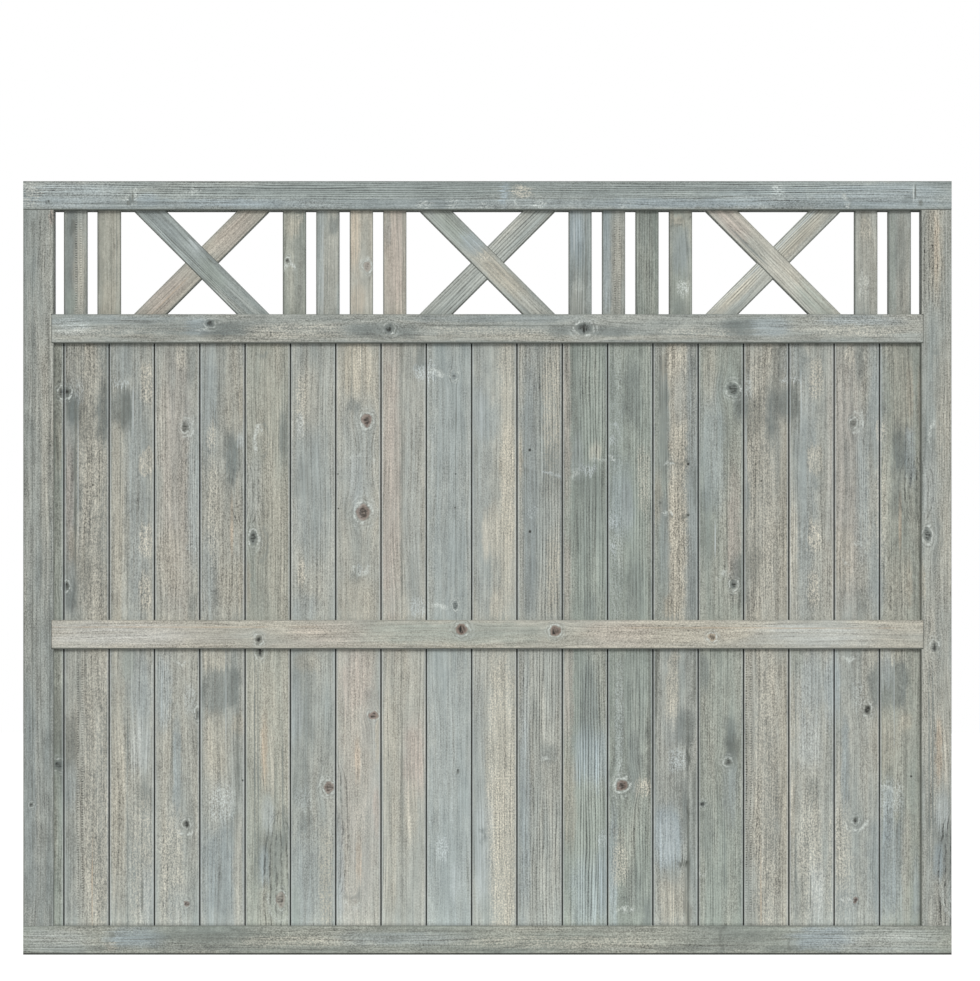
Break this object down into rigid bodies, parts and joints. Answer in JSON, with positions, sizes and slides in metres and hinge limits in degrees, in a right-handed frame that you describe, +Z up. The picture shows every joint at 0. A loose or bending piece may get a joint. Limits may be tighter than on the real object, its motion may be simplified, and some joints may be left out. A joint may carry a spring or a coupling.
{
  "type": "privacy fence panel",
  "caption": "Framed timber privacy fence panel: upright tongue-and-groove boards held by a middle batten, under an open band of upright laths and diagonal crosses.",
  "frame": {"origin": "centre of the panel's footprint, on the underside of the bottom rail", "axes": "+X along the panel's width, -Y out of the front face, +Z up"},
  "size_m": [1.8, 0.045, 1.5],
  "materials": {
    "frame_timber": "weathered grey-green stained softwood, sawn",
    "board_timber": "weathered grey-green and beige stained softwood, brushed",
    "lattice_timber": "weathered grey-green stained softwood, planed",
    "screw_steel": "dull zinc plated"
  },
  "bodies": {
    "root": {"batten_back": "frame_timber", "batten_front": "frame_timber", "batten_screws": "screw_steel", "board_01": "board_timber", "board_02": "board_timber", "board_03": "board_timber", "board_04": "board_timber", "board_05": "board_timber", "board_06": "board_timber", "board_07": "board_timber", "board_08": "board_timber", "board_09": "board_timber", "board_10": "board_timber", "board_11": "board_timber", "board_12": "board_timber", "board_13": "board_timber", "board_14": "board_timber", "board_15": "board_timber", "board_16": "board_timber", "board_17": "board_timber", "board_18": "board_timber", "board_19": "board_timber", "board_20": "board_timber", "bottom_rail": "frame_timber", "cross_1_falling_bar": "lattice_timber", "cross_1_rising_bar": "lattice_timber", "cross_2_falling_bar": "lattice_timber", "cross_2_rising_bar": "lattice_timber", "cross_3_falling_bar": "lattice_timber", "cross_3_rising_bar": "lattice_timber", "frame_screws": "screw_steel", "lath_01": "lattice_timber", "lath_02": "lattice_timber", "lath_03": "lattice_timber", "lath_04": "lattice_timber", "lath_05": "lattice_timber", "lath_06": "lattice_timber", "lath_07": "lattice_timber", "lath_08": "lattice_timber", "lath_09": "lattice_timber", "lath_10": "lattice_timber", "lath_11": "lattice_timber", "lath_12": "lattice_timber", "left_stile": "frame_timber", "mid_rail": "frame_timber", "mid_rail_screws": "screw_steel", "right_stile": "frame_timber", "top_rail": "frame_timber"}
  },
  "joints": []
}
